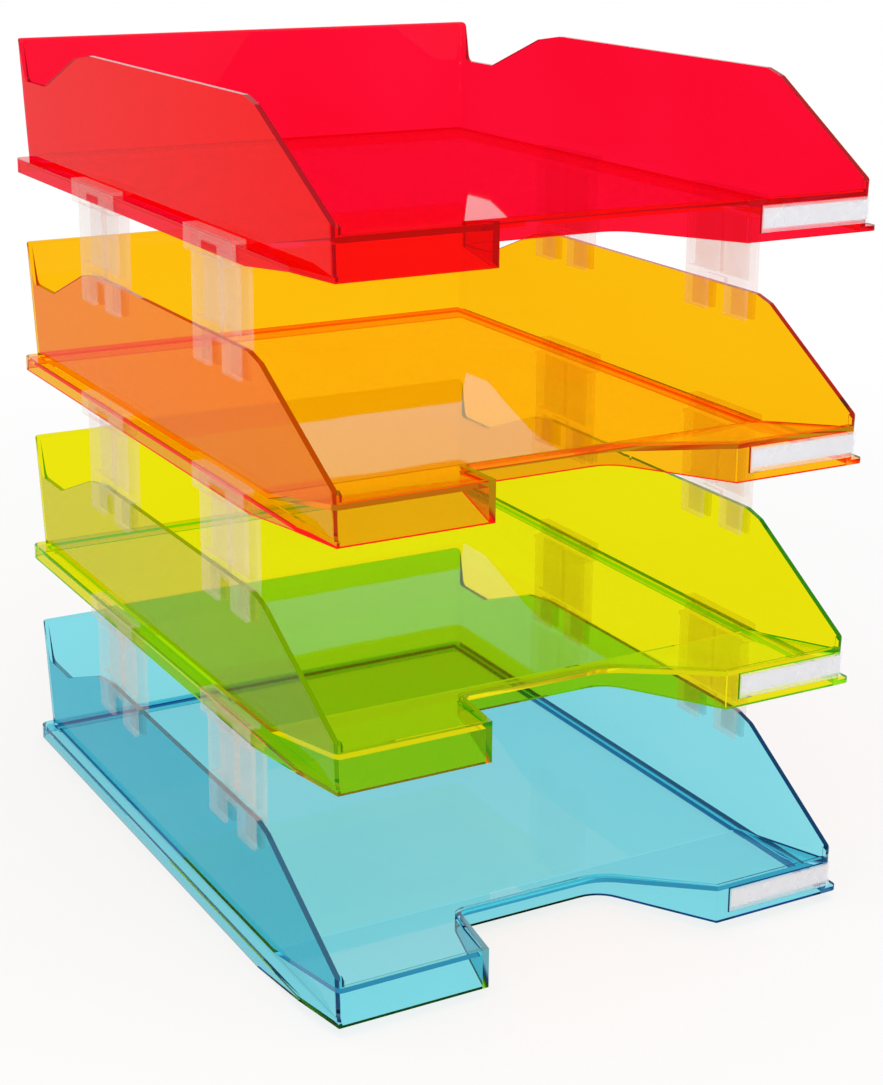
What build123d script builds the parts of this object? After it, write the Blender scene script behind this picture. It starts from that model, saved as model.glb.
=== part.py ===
"""Stack of four letter trays, held apart by twelve clip-on risers.

All lengths are in millimetres. The origin is the middle of the bottom tray's footprint, on the table.
+Z is up and the open fronts of the trays face -Y.
"""
from build123d import *
import os

os.makedirs("parts", exist_ok=True)

# ---- the stack
tray_width = 255.0
tray_depth = 346.0
tray_height = 65.0
stack_pitch = 100.0
seat_gap = 0.1

# ---- the tray's plastic
wall_thickness = 2.4
floor_thickness = 2.2
skirt_thickness = 2.0
corner_radius = 3.0

# ---- the rim the tray stands on, and how far the walls stand in from it
rim_height = 6.8
ledge_thickness = 2.2
rim_corner_radius = 5.0
wall_inset_foot = 5.1
wall_inset_top = 2.6
rim_front_taper = 28.0
skirt_fade_start = 68.0
skirt_fade_end = 28.0

# ---- the floor and the ramp that climbs from it to the front lip
floor_top = 9.0
ramp_length = 64.0
ramp_rise = 12.4
lip_height = 22.3
lip_recess_height = 14.0

# ---- the finger recess in the front edge, and the blocks that it leaves at the two ends
recess_depth = 48.0
left_block_width = 73.5
left_block_lean = 13.0
right_block_width = 66.5
right_block_lean = 30.5
recess_left_radius = 5.0
recess_right_radius = 16.0

# ---- the outline of the side walls: the knee is measured from the front face, the rest from the rear
front_post_height = 25.0
knee_low_back = 63.0
knee_low_height = 62.3
knee_top_back = 73.0
shoulder_from_rear = 104.0
shoulder_length = 20.0
shoulder_drop = 3.0
notch_from_rear = 39.0
notch_height = 45.0
notch_floor_length = 28.0
notch_radius = 4.0
rear_post = 0.2

# ---- the label holder on the right-hand front block
holder_length = 54.8
holder_end_margin = 4.9
holder_bottom = 8.2
holder_height = 11.0
holder_depth = 1.5
holder_face = 0.9
holder_edge = 1.0
holder_gap = 0.2
label_thickness = 0.3
label_side_gap = 0.5

# ---- the risers
riser_plate = 1.8
riser_width = 46.0
riser_hook_width = 49.0
riser_slot_width = 14.0
riser_prong_length = 13.0
riser_fork_step = 1.0
riser_crown_height = 5.0
riser_inner_slot_rise = 4.0
riser_rib = 2.0
riser_gap = 0.25
riser_lip_reach = 6.3
riser_return_height = 4.0
riser_window_width = 20.0
riser_window_height = 5.4
riser_window_bottom = -1.0

# ---- where the risers' middles are on each tray: back from the front face, and forward from the rear
riser_places = {"green": (94.0, 118.0), "orange": (97.0, 115.5), "red": (100.5, 112.5)}

half_width = tray_width / 2
front_y = -tray_depth / 2
rear_y = tray_depth / 2
ledge_bottom = rim_height - ledge_thickness
flare = (wall_inset_foot - wall_inset_top) / (tray_height - ledge_bottom)
inner_half_width = half_width - wall_inset_foot - wall_thickness
ramp_start = front_y + ramp_length
ramp_slope = ramp_rise / ramp_length
lip_slope = (lip_height - lip_recess_height) / recess_depth
recess_back = front_y + recess_depth
recess_left = -half_width + left_block_width
recess_right = half_width - right_block_width
holder_right = half_width - holder_end_margin
holder_left = holder_right - holder_length

# how far the cutting shapes and the overlaps between joined shapes run on; they don't show
wall_spare = 4.0
cut_spare = 20.0
overlap = 1.0


def recess_outline():
    """The plan shape of the finger recess, drawn a little past the front face."""
    past = 4 / recess_depth
    with BuildSketch() as outline:
        with BuildLine():
            Polyline(
                (recess_left - past * left_block_lean, front_y - past * recess_depth),
                (recess_left + left_block_lean, recess_back),
                (recess_right - right_block_lean, recess_back),
                (recess_right + past * right_block_lean, front_y - past * recess_depth),
                close=True,
            )
        make_face()
        corners = outline.vertices().group_by(Axis.Y)[-1].sort_by(Axis.X)
        fillet(corners[0], recess_left_radius)
        corners = outline.vertices().sort_by_distance((recess_right - right_block_lean, recess_back))
        fillet(corners[0], recess_right_radius)
    return outline.sketch


def wall_outline(inset, thickness):
    """The tray's plan outline at one height: vertical at the front, set in at the sides and the rear."""
    shift = -inset / 2
    with Locations((0, shift)):
        RectangleRounded(
            tray_width - 2 * inset - 2 * thickness,
            tray_depth - inset - 2 * thickness,
            max(corner_radius - thickness, 0.5),
        )


# ---- one tray, built on the table
with BuildPart() as tray:
    # flared walls, drawn a little too tall
    with BuildSketch(Plane.XY.offset(ledge_bottom)):
        wall_outline(wall_inset_foot, 0)
    with BuildSketch(Plane.XY.offset(tray_height + wall_spare)):
        wall_outline(wall_inset_top - flare * wall_spare, 0)
    loft(ruled=True)
    with BuildSketch(Plane.XY.offset(ledge_bottom)):
        wall_outline(wall_inset_foot, wall_thickness)
    with BuildSketch(Plane.XY.offset(tray_height + wall_spare)):
        wall_outline(wall_inset_top - flare * wall_spare, wall_thickness)
    loft(ruled=True, mode=Mode.SUBTRACT)

    # the cut that leaves the walls' top outline, seen from the side
    with BuildSketch(Plane.YZ.offset(-tray_width)):
        with BuildLine():
            FilletPolyline(
                (front_y - cut_spare, tray_height + cut_spare),
                (front_y - cut_spare, front_post_height),
                (front_y, front_post_height),
                (front_y + knee_low_back, knee_low_height),
                (front_y + knee_top_back, tray_height),
                (rear_y - shoulder_from_rear, tray_height),
                (rear_y - shoulder_from_rear + shoulder_length, tray_height - shoulder_drop),
                (rear_y - notch_from_rear, notch_height),
                (rear_y - notch_from_rear + notch_floor_length, notch_height),
                (rear_y - wall_inset_top - wall_thickness - rear_post, tray_height),
                (rear_y + cut_spare, tray_height),
                (rear_y + cut_spare, tray_height + cut_spare),
                radius=notch_radius,
                close=True,
            )
        make_face()
    extrude(amount=2 * tray_width, mode=Mode.SUBTRACT)

    # flat floor
    with BuildSketch(Plane.XY.offset(floor_top - floor_thickness)):
        with Locations((0, (ramp_start + rear_y - wall_inset_foot) / 2)):
            Rectangle(2 * inner_half_width + wall_thickness, rear_y - wall_inset_foot - ramp_start - overlap)
    extrude(amount=floor_thickness)

    # ramp up to the front lip
    with BuildSketch(Plane.YZ.offset(-inner_half_width - wall_thickness / 2)):
        with BuildLine():
            Polyline(
                (ramp_start + overlap, floor_top),
                (ramp_start, floor_top),
                (front_y + overlap, floor_top + ramp_rise - overlap * ramp_slope),
                (front_y + overlap, floor_top + ramp_rise - overlap * ramp_slope - floor_thickness),
                (ramp_start, floor_top - floor_thickness),
                (ramp_start + overlap, floor_top - floor_thickness),
                close=True,
            )
        make_face()
    extrude(amount=2 * inner_half_width + wall_thickness)

    # wall round the finger recess
    with BuildSketch(Plane.XY.offset(ledge_bottom)):
        add(recess_outline())
        offset(amount=wall_thickness, kind=Kind.INTERSECTION)
        with Locations((0, front_y)):
            Rectangle(tray_width, tray_depth, align=(Align.CENTER, Align.MAX), mode=Mode.SUBTRACT)
    extrude(amount=lip_height - ledge_bottom)

    # the lip falls from the front blocks to the back of the recess
    with BuildSketch(Plane.YZ.offset(-inner_half_width)):
        with BuildLine():
            Polyline(
                (front_y - cut_spare, lip_height + cut_spare * lip_slope),
                (ramp_start, lip_height - ramp_length * lip_slope),
                (ramp_start, tray_height + cut_spare),
                (front_y - cut_spare, tray_height + cut_spare),
                close=True,
            )
        make_face()
    extrude(amount=2 * inner_half_width, mode=Mode.SUBTRACT)

    # ledge round the foot of the walls
    with BuildSketch(Plane.XY.offset(ledge_bottom)) as ledge:
        with BuildLine():
            Polyline(
                (-half_width + wall_inset_foot, front_y),
                (-half_width, front_y + rim_front_taper),
                (-half_width, rear_y),
                (half_width, rear_y),
                (half_width, front_y),
                close=True,
            )
        make_face()
        fillet(ledge.vertices().group_by(Axis.Y)[-1], rim_corner_radius)
        fillet(ledge.vertices().group_by(Axis.Y)[0].sort_by(Axis.X)[-1], corner_radius)
        with Locations((0, -wall_inset_foot / 2)):
            Rectangle(
                2 * inner_half_width,
                tray_depth - wall_inset_foot - 2 * wall_thickness,
                mode=Mode.SUBTRACT,
            )
    extrude(amount=ledge_thickness)

    # skirt that hangs from the ledge down to the table
    with BuildSketch() as skirt:
        with BuildLine():
            Polyline(
                (-half_width, front_y),
                (-half_width, rear_y),
                (half_width, rear_y),
                (half_width, front_y),
                close=True,
            )
        make_face()
        fillet(skirt.vertices().group_by(Axis.Y)[-1], rim_corner_radius)
        with Locations((0, -skirt_thickness)):
            RectangleRounded(
                tray_width - 2 * skirt_thickness,
                tray_depth,
                rim_corner_radius - skirt_thickness,
                mode=Mode.SUBTRACT,
            )
        with Locations((0, front_y)):
            Rectangle(tray_width + 2, 2 * skirt_fade_end, mode=Mode.SUBTRACT)
    extrude(amount=rim_height)
    with BuildSketch(Plane.YZ.offset(-tray_width)):
        with BuildLine():
            Polyline(
                (front_y + skirt_fade_start, 0),
                (front_y + skirt_fade_end, ledge_bottom),
                (front_y - cut_spare, ledge_bottom),
                (front_y - cut_spare, -cut_spare),
                (front_y + skirt_fade_start, -cut_spare),
                close=True,
            )
        make_face()
    extrude(amount=2 * tray_width, mode=Mode.SUBTRACT)

    # the finger recess itself
    with BuildSketch():
        add(recess_outline())
    extrude(amount=tray_height, mode=Mode.SUBTRACT)

    # pocket for the label holder, open at the right-hand end
    with BuildSketch(Plane.XZ.offset(-front_y - holder_depth)):
        with Locations((holder_left - holder_gap, holder_bottom - holder_gap)):
            Rectangle(
                half_width - holder_left,
                holder_height + 2 * holder_gap,
                align=(Align.MIN, Align.MIN),
            )
    extrude(amount=2 * holder_depth, mode=Mode.SUBTRACT)

# ---- one clear label holder, on the table's level
with BuildPart() as holder:
    with BuildSketch(Plane.XZ.offset(-front_y - holder_depth)):
        with Locations((holder_left, holder_bottom)):
            Rectangle(holder_length, holder_height, align=(Align.MIN, Align.MIN))
    extrude(amount=holder_depth)
    with BuildSketch(Plane.XZ.offset(-front_y - holder_depth)):
        with Locations((holder_left + holder_edge, holder_bottom + holder_edge)):
            Rectangle(half_width - holder_left, holder_height - 2 * holder_edge, align=(Align.MIN, Align.MIN))
    extrude(amount=holder_depth - holder_face, mode=Mode.SUBTRACT)

# ---- one paper label, in the middle of the holder's slot
label_play = (holder_depth - holder_face - label_thickness) / 2
label_inset = holder_edge + label_side_gap
with BuildPart() as paper:
    with BuildSketch(Plane.XZ.offset(-front_y - holder_depth + label_play)):
        with Locations((holder_left + label_inset, holder_bottom + label_inset)):
            Rectangle(
                holder_length - label_inset,
                holder_height - 2 * label_inset,
                align=(Align.MIN, Align.MIN),
            )
    extrude(amount=label_thickness)

# ---- one riser for the left-hand rim, in the frame of the tray it is clipped to
wall_top = tray_height - stack_pitch
outer_face = half_width - wall_inset_top + riser_gap
inner_face = half_width - wall_inset_top - wall_thickness - flare * riser_prong_length - riser_gap
hook_face = half_width + riser_gap
prong_tip = wall_top - riser_prong_length
with BuildPart() as riser:
    # outer plate, inner plate and the crown that sits on the wall below
    with BuildSketch(Plane.XZ.offset(-riser_width / 2)):
        with Locations((-outer_face, prong_tip)):
            Rectangle(riser_plate, -prong_tip - seat_gap, align=(Align.MAX, Align.MIN))
        with Locations((-inner_face, prong_tip)):
            Rectangle(riser_plate, -prong_tip - seat_gap, align=(Align.MIN, Align.MIN))
        with Locations((-outer_face, wall_top + seat_gap)):
            Rectangle(outer_face - inner_face, riser_crown_height, align=(Align.MIN, Align.MIN))
    extrude(amount=riser_width)
    # rib between the plates
    with BuildSketch(Plane.XZ.offset(-riser_rib / 2)):
        with Locations((-outer_face, wall_top + seat_gap)):
            Rectangle(outer_face - inner_face, -wall_top - 2 * seat_gap, align=(Align.MIN, Align.MIN))
    extrude(amount=riser_rib)
    # hook that wraps the rim of the tray above
    with BuildSketch(Plane.XZ.offset(-riser_hook_width / 2)):
        with Locations((-hook_face - riser_plate, -seat_gap)):
            Rectangle(hook_face + 2 * riser_plate - inner_face, riser_plate, align=(Align.MIN, Align.MAX))
        with Locations((-hook_face, -seat_gap - riser_plate)):
            Rectangle(riser_plate, rim_height + 2 * seat_gap + 2 * riser_plate, align=(Align.MAX, Align.MIN))
        with Locations((-hook_face - riser_plate, rim_height + seat_gap)):
            Rectangle(riser_lip_reach, riser_plate, align=(Align.MIN, Align.MIN))
        with Locations((-half_width + skirt_thickness + riser_gap, -seat_gap)):
            Rectangle(riser_plate, riser_return_height, align=(Align.MIN, Align.MIN))
    extrude(amount=riser_hook_width)
    # window in the hook
    with BuildSketch(Plane.YZ.offset(-hook_face)):
        with Locations((0, riser_window_bottom)):
            Rectangle(riser_window_width, riser_window_height, align=(Align.CENTER, Align.MIN))
    extrude(amount=-2 * riser_plate, mode=Mode.SUBTRACT)
    # slot between the outer prongs, and the taller one between the inner prongs
    with BuildSketch(Plane.YZ.offset(-outer_face)):
        with Locations((0, prong_tip)):
            Rectangle(riser_slot_width, riser_prong_length - riser_fork_step, align=(Align.CENTER, Align.MIN))
    extrude(amount=-2 * riser_plate, mode=Mode.SUBTRACT)
    with BuildSketch(Plane.YZ.offset(-inner_face)):
        with Locations((0, prong_tip)):
            Rectangle(
                riser_slot_width,
                riser_prong_length + riser_inner_slot_rise,
                align=(Align.CENTER, Align.MIN),
            )
    extrude(amount=2 * riser_plate, mode=Mode.SUBTRACT)

# ---- the stack, from the table up
for level, colour in enumerate(("blue", "green", "orange", "red")):
    base = level * stack_pitch
    for kind, piece in (("tray", tray), ("label_holder", holder), ("label", paper)):
        with BuildPart() as placed:
            add(piece.part.moved(Location((0, 0, base))))
        placed.part.label = f"{colour}_{kind}"
        export_step(placed.part, f"parts/{colour}_{kind}.step")
    if level == 0:
        continue
    from_front, from_rear = riser_places[colour]
    for place, middle in (("front", front_y + from_front), ("rear", rear_y - from_rear)):
        for side, turn in (("left", 0), ("right", 180)):
            with BuildPart() as placed:
                add(riser.part.moved(Location((0, middle, base), (0, 0, turn))))
            placed.part.label = f"{colour}_riser_{place}_{side}"
            export_step(placed.part, f"parts/{colour}_riser_{place}_{side}.step")
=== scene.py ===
"""Looks for a stack of four clear letter trays: tinted trays, frosted risers, clear holders under a painted
pale highlight, paper labels.
"""
import math

import bpy
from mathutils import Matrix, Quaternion, Vector

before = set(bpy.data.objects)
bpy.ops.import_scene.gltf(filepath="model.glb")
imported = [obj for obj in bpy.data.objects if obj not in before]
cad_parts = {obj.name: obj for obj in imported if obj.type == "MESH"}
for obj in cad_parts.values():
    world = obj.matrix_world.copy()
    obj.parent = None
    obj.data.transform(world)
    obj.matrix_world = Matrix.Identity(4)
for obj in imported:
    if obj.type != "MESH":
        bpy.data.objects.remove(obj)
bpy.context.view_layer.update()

# ---- the trays: what one wall lets through, and the tint of light that is turned back inside a wall
TRAY_TINTS = {
    "blue": {"wall": (0.27, 0.78, 0.88), "edge": (0.015, 0.09, 0.28)},
    "green": {"wall": (0.88, 0.82, 0.006), "edge": (0.22, 0.80, 0.02)},
    "orange": {"wall": (0.998, 0.53, 0.005), "edge": (0.99, 0.05, 0.004)},
    "red": {"wall": (0.998, 0.005, 0.035), "edge": (0.85, 0.01, 0.06)},
}
TRAY_IOR = 1.2
TRAY_ROUGHNESS = (0.015, 0.0375)
MOULDING_WAVE = 0.00025

# ---- a turned-back ray is inside its wall up to the first length in metres, and outside it past the second
STILL_INSIDE = 0.006
WELL_OUTSIDE = 0.014

# ---- the thin pale pieces: frosting on the risers, and on the clear holders a painted highlight, a pale film that stands in for the light their fronts reflect. Their colour, the share of the view that they cover, and their roughness
RISER_HAZE = (0.90, 0.73, 0.65)
RISER_COVER = 0.16
RISER_ROUGHNESS = (0.28, 0.42)
# the clear holders: a painted highlight, a near-white film that stands in for light reflected off their
# clear fronts
HOLDER_PAINTED_HIGHLIGHT = (0.90, 0.90, 0.92)
HOLDER_HIGHLIGHT_COVER = 0.28
HOLDER_ROUGHNESS = (0.05, 0.12)
HAZE_IOR = 1.45
HAZE_GRAIN = 0.00004

# ---- the labels
PAPER = (0.76, 0.77, 0.81)
PAPER_ROUGHNESS = (0.72, 0.9)
PAPER_TOOTH = 0.00006

# ---- the room: light on surfaces, the table, and what reflections show of both
FILL_LIGHT = 0.6
ROOM_IN_GLOSS = (0.5, 1.0)
ROOM_IN_GLOSS_SPAN = (0.45, 0.8)
ROOM_IN_GLOSS_TURN = 60.0
TABLE_SIZE = 6.0
TABLE_COLOUR = 0.95
TABLE_IN_GLOSS = 0.5
TABLE_WHITE_NEAR, TABLE_WHITE_FAR = 0.75, 1.0
TABLE_NEAR, TABLE_FAR = 0.25, 1.0

# ---- the lamps: place, side length in metres and watts. Both aim at the middle of the stack.
LAMPS = {
    "top_softbox": {"place": (-0.3, -0.4, 1.9), "size": 1.4, "power": 10},
    "front_softbox": {"place": (-0.8, -2.0, 0.8), "size": 1.0, "power": 22},
}
STACK_MIDDLE = (0, 0, 0.18)
LONGEST_PATH = 40

# ---- the camera: where it stands and how it is turned, in metres and degrees
CAMERA_PLACE = (-0.4576, -0.8533, 0.457)
CAMERA_AZIMUTH = -29.15
CAMERA_ELEVATION = 15.34
CAMERA_ROLL = 0.45
CAMERA_LENS = 71.26
CAMERA_SHIFT_Y = -0.1


def grey(value):
    return (value, value, value)


def darker(colour, share):
    return [value * share for value in colour]


# ---- small pieces of node trees


def new_material(name):
    material = bpy.data.materials.new(name)
    material.use_nodes = True
    material.node_tree.nodes.clear()
    return material, material.node_tree.nodes, material.node_tree.links


def surface_out(nodes, links, shader, kind="ShaderNodeOutputMaterial"):
    end = nodes.new(kind)
    links.new(shader, end.inputs["Surface"])


def noise(nodes, links, scale, detail, stretch=(1, 1, 1)):
    """Noise in the object's own metres, pulled out along an axis where stretch is below 1."""
    place = nodes.new("ShaderNodeTexCoord")
    mapping = nodes.new("ShaderNodeMapping")
    mapping.inputs["Scale"].default_value = stretch
    texture = nodes.new("ShaderNodeTexNoise")
    texture.inputs["Scale"].default_value = scale
    texture.inputs["Detail"].default_value = detail
    links.new(place.outputs["Object"], mapping.inputs["Vector"])
    links.new(mapping.outputs["Vector"], texture.inputs["Vector"])
    return texture.outputs["Fac"]


def ramp(nodes, links, source, low, high, start=0.3, end=0.7):
    """Colours or values between low and high, following source."""
    node = nodes.new("ShaderNodeValToRGB")
    first, last = node.color_ramp.elements
    first.position, last.position = start, end
    first.color, last.color = (*low, 1), (*high, 1)
    links.new(source, node.inputs["Fac"])
    return node.outputs["Color"]


def bump(nodes, links, height, strength, distance):
    node = nodes.new("ShaderNodeBump")
    node.inputs["Strength"].default_value = strength
    node.inputs["Distance"].default_value = distance
    links.new(height, node.inputs["Height"])
    return node.outputs["Normal"]


def combine(nodes, links, operation, first, second):
    node = nodes.new("ShaderNodeMath")
    node.operation = operation
    links.new(first, node.inputs[0])
    links.new(second, node.inputs[1])
    return node.outputs["Value"]


def mix(nodes, links, share, first, second):
    """The first shader where share is 0, and the second where it is 1."""
    node = nodes.new("ShaderNodeMixShader")
    links.new(share, node.inputs["Fac"])
    links.new(first, node.inputs[1])
    links.new(second, node.inputs[2])
    return node.outputs["Shader"]


def glow(nodes, kind, level):
    """A Background or Emission shader of one grey."""
    node = nodes.new(kind)
    node.inputs["Color"].default_value = (*grey(level), 1)
    node.inputs["Strength"].default_value = 1.0
    return node


def seen_directly(nodes, links):
    """1 for a ray from the camera, a reflection or clear plastic, and 0 for light on a surface."""
    path = nodes.new("ShaderNodeLightPath")
    straight = combine(
        nodes, links, "MAXIMUM", path.outputs["Is Camera Ray"], path.outputs["Is Glossy Ray"]
    )
    return combine(nodes, links, "MAXIMUM", straight, path.outputs["Is Transmission Ray"])


def mirrored(nodes, links):
    """1 for a ray that a glossy surface has turned back, and 0 for any other."""
    path = nodes.new("ShaderNodeLightPath")
    return combine(
        nodes, links, "MULTIPLY", path.outputs["Is Glossy Ray"], path.outputs["Is Reflection Ray"]
    )


# ---- the materials


def moulded(nodes, links, wall):
    """The glossy clear surface of a moulding, with the slow waves and fine scatter that moulding leaves."""
    shader = nodes.new("ShaderNodeBsdfPrincipled")
    shader.inputs["IOR"].default_value = TRAY_IOR
    shader.inputs["Transmission Weight"].default_value = 1.0
    flow = noise(nodes, links, 9.0, 2.0, (1, 0.6, 1))
    fine = noise(nodes, links, 420.0, 4.0)
    thicker = [value**1.1 for value in wall]
    links.new(ramp(nodes, links, flow, thicker, wall), shader.inputs["Base Color"])
    smoothest, roughest = TRAY_ROUGHNESS
    links.new(ramp(nodes, links, fine, grey(smoothest), grey(roughest)), shader.inputs["Roughness"])
    links.new(bump(nodes, links, flow, 1.0, MOULDING_WAVE), shader.inputs["Normal"])
    return shader.outputs["BSDF"]


def tinted(name, wall, edge):
    """Clear coloured plastic. Lamps pass straight through it, tinted, so that they reach what is inside.

    Light that is turned back inside a wall leaves at the next face with the edge tint, because the real
    walls' soft edges let it out, deep in colour, where ideal flat ones would trap it. Light that comes off
    the outside goes on through other walls, with their own tint.
    """
    material, nodes, links = new_material(name)
    face = [math.sqrt(value) for value in wall]
    path = nodes.new("ShaderNodeLightPath")
    turned_back = nodes.new("ShaderNodeBsdfTransparent")
    reach = ramp(nodes, links, path.outputs["Ray Length"], edge, face, STILL_INSIDE, WELL_OUTSIDE)
    links.new(reach, turned_back.inputs["Color"])
    lamp_light = nodes.new("ShaderNodeBsdfTransparent")
    lamp_light.inputs["Color"].default_value = (*face, 1)
    shine = moulded(nodes, links, wall)
    seen = mix(nodes, links, path.outputs["Is Reflection Ray"], shine, turned_back.outputs["BSDF"])
    both = mix(nodes, links, path.outputs["Is Shadow Ray"], seen, lamp_light.outputs["BSDF"])
    surface_out(nodes, links, both)
    return material


def haze_and_painted_highlight(name, haze_and_highlight_colour, cover, roughness):
    """Thin plastic under a pale film, real frosting on the risers and a painted highlight on the clear
    holders: cover is its share of the view, and the rest shows what is behind it.
    """
    material, nodes, links = new_material(name)
    shader = nodes.new("ShaderNodeBsdfPrincipled")
    shader.inputs["IOR"].default_value = HAZE_IOR
    cloud = noise(nodes, links, 60.0, 3.0)
    fine = noise(nodes, links, 900.0, 4.0)
    smoothest, roughest = roughness
    # the pale colour: the risers' own frosting, or on the holders a painted highlight
    links.new(ramp(nodes, links, cloud, darker(haze_and_highlight_colour, 0.95), haze_and_highlight_colour), shader.inputs["Base Color"])
    links.new(ramp(nodes, links, fine, grey(smoothest), grey(roughest)), shader.inputs["Roughness"])
    links.new(bump(nodes, links, fine, 0.4, HAZE_GRAIN), shader.inputs["Normal"])
    share = ramp(nodes, links, cloud, grey(cover * 0.85), grey(cover * 1.15))
    links.new(share, shader.inputs["Alpha"])
    surface_out(nodes, links, shader.outputs["BSDF"])
    return material


def paper():
    """Uncoated label paper: a faint mottle and the fibres' tooth."""
    material, nodes, links = new_material("label_paper")
    shader = nodes.new("ShaderNodeBsdfPrincipled")
    mottle = noise(nodes, links, 260.0, 4.0)
    fibre = noise(nodes, links, 1800.0, 5.0, (0.35, 1, 1))
    smoothest, roughest = PAPER_ROUGHNESS
    links.new(ramp(nodes, links, mottle, darker(PAPER, 0.93), PAPER), shader.inputs["Base Color"])
    links.new(ramp(nodes, links, fibre, grey(smoothest), grey(roughest)), shader.inputs["Roughness"])
    links.new(bump(nodes, links, fibre, 0.4, PAPER_TOOTH), shader.inputs["Normal"])
    surface_out(nodes, links, shader.outputs["BSDF"])
    return material


def dress_all():
    """Gives each CAD node the finish of its kind. Names are like red_tray and red_riser_front_left."""
    trays = {
        colour: tinted(f"{colour}_plastic", tint["wall"], tint["edge"])
        for colour, tint in TRAY_TINTS.items()
    }
    fittings = {
        "riser": haze_and_painted_highlight("frosted_plastic", RISER_HAZE, RISER_COVER, RISER_ROUGHNESS),
        # clear holders: a pale film painted on as a highlight, standing in for the light they reflect
        "label_holder": haze_and_painted_highlight("clear_plastic", HOLDER_PAINTED_HIGHLIGHT, HOLDER_HIGHLIGHT_COVER, HOLDER_ROUGHNESS),
        "label": paper(),
    }
    for name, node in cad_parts.items():
        colour, piece = name.split("_", 1)
        kind = "riser" if piece.startswith("riser") else piece
        material = trays[colour] if kind == "tray" else fittings[kind]
        for slot in node.material_slots:
            slot.material = material


# ---- the studio


def make_world():
    """Even light from all round, behind a plain white background. Reflections fade to one side."""
    world = bpy.data.worlds.new("studio")
    bpy.context.scene.world = world
    world.use_nodes = True
    nodes, links = world.node_tree.nodes, world.node_tree.links
    nodes.clear()
    fill = glow(nodes, "ShaderNodeBackground", 1.0)
    fill.inputs["Strength"].default_value = FILL_LIGHT
    white = glow(nodes, "ShaderNodeBackground", 1.0)
    plain = mix(
        nodes, links, seen_directly(nodes, links), fill.outputs["Background"], white.outputs["Background"]
    )
    soft = glow(nodes, "ShaderNodeBackground", 1.0)
    links.new(sweep(nodes, links), soft.inputs["Color"])
    both = mix(nodes, links, mirrored(nodes, links), plain, soft.outputs["Background"])
    surface_out(nodes, links, both, "ShaderNodeOutputWorld")


def sweep(nodes, links):
    """Greys that run from one side of the room to the other."""
    place = nodes.new("ShaderNodeTexCoord")
    turned = nodes.new("ShaderNodeMapping")
    turned.vector_type = "TEXTURE"
    turned.inputs["Rotation"].default_value = (0, 0, math.radians(ROOM_IN_GLOSS_TURN))
    gradient = nodes.new("ShaderNodeTexGradient")
    links.new(place.outputs["Generated"], turned.inputs["Vector"])
    links.new(turned.outputs["Vector"], gradient.inputs["Vector"])
    dim, bright = ROOM_IN_GLOSS
    return ramp(nodes, links, gradient.outputs["Fac"], grey(dim), grey(bright), *ROOM_IN_GLOSS_SPAN)


def whiteness(nodes, links):
    """How far the table's own white stands in for its lit surface, from near the stack to far off."""
    place = nodes.new("ShaderNodeTexCoord")
    distance = nodes.new("ShaderNodeVectorMath")
    distance.operation = "LENGTH"
    links.new(place.outputs["Object"], distance.inputs[0])
    level = nodes.new("ShaderNodeMapRange")
    level.inputs["From Min"].default_value = TABLE_NEAR
    level.inputs["From Max"].default_value = TABLE_FAR
    level.inputs["To Min"].default_value = TABLE_WHITE_NEAR
    level.inputs["To Max"].default_value = TABLE_WHITE_FAR
    links.new(distance.outputs["Value"], level.inputs["Value"])
    return level.outputs["Result"]


def table_top():
    material, nodes, links = new_material("table_top")
    lit = nodes.new("ShaderNodeBsdfDiffuse")
    lit.inputs["Color"].default_value = (*grey(TABLE_COLOUR), 1)
    white = glow(nodes, "ShaderNodeEmission", 1.0)
    share = combine(nodes, links, "MULTIPLY", seen_directly(nodes, links), whiteness(nodes, links))
    plain = mix(nodes, links, share, lit.outputs["BSDF"], white.outputs["Emission"])
    dim = glow(nodes, "ShaderNodeEmission", TABLE_IN_GLOSS)
    surface_out(nodes, links, mix(nodes, links, mirrored(nodes, links), plain, dim.outputs["Emission"]))
    return material


def make_floor():
    """A white table top that keeps a soft part of the stack's shadow."""
    bpy.ops.mesh.primitive_plane_add(size=TABLE_SIZE, location=(0, 0, 0))
    floor = bpy.context.object
    floor.name = "floor"
    floor.data.materials.append(table_top())


def place_in_scene(thing, place, turn):
    thing.location = place
    thing.rotation_mode = "QUATERNION"
    thing.rotation_quaternion = turn
    bpy.context.scene.collection.objects.link(thing)


def make_lamps():
    for name, lamp in LAMPS.items():
        data = bpy.data.lights.new(name, "AREA")
        data.shape = "SQUARE"
        data.size = lamp["size"]
        data.energy = lamp["power"]
        aim = (Vector(STACK_MIDDLE) - Vector(lamp["place"])).to_track_quat("-Z", "Y")
        place_in_scene(bpy.data.objects.new(name, data), lamp["place"], aim)


def make_camera():
    turn, tilt = math.radians(CAMERA_AZIMUTH), math.radians(CAMERA_ELEVATION)
    back = Vector((math.sin(turn) * math.cos(tilt), -math.cos(turn) * math.cos(tilt), math.sin(tilt)))
    data = bpy.data.cameras.new("camera")
    data.lens = CAMERA_LENS
    data.shift_y = CAMERA_SHIFT_Y
    camera = bpy.data.objects.new("camera", data)
    roll = Quaternion((0, 0, 1), math.radians(CAMERA_ROLL))
    place_in_scene(camera, CAMERA_PLACE, (-back).to_track_quat("-Z", "Y") @ roll)
    bpy.context.scene.camera = camera


def allow_long_paths():
    """Light crosses many clear walls here."""
    paths = bpy.context.scene.cycles
    paths.max_bounces = LONGEST_PATH
    paths.transmission_bounces = LONGEST_PATH
    paths.transparent_max_bounces = LONGEST_PATH


allow_long_paths()
make_camera()
make_world()
make_floor()
make_lamps()
dress_all()
bpy.context.scene.view_settings.view_transform = "Standard"
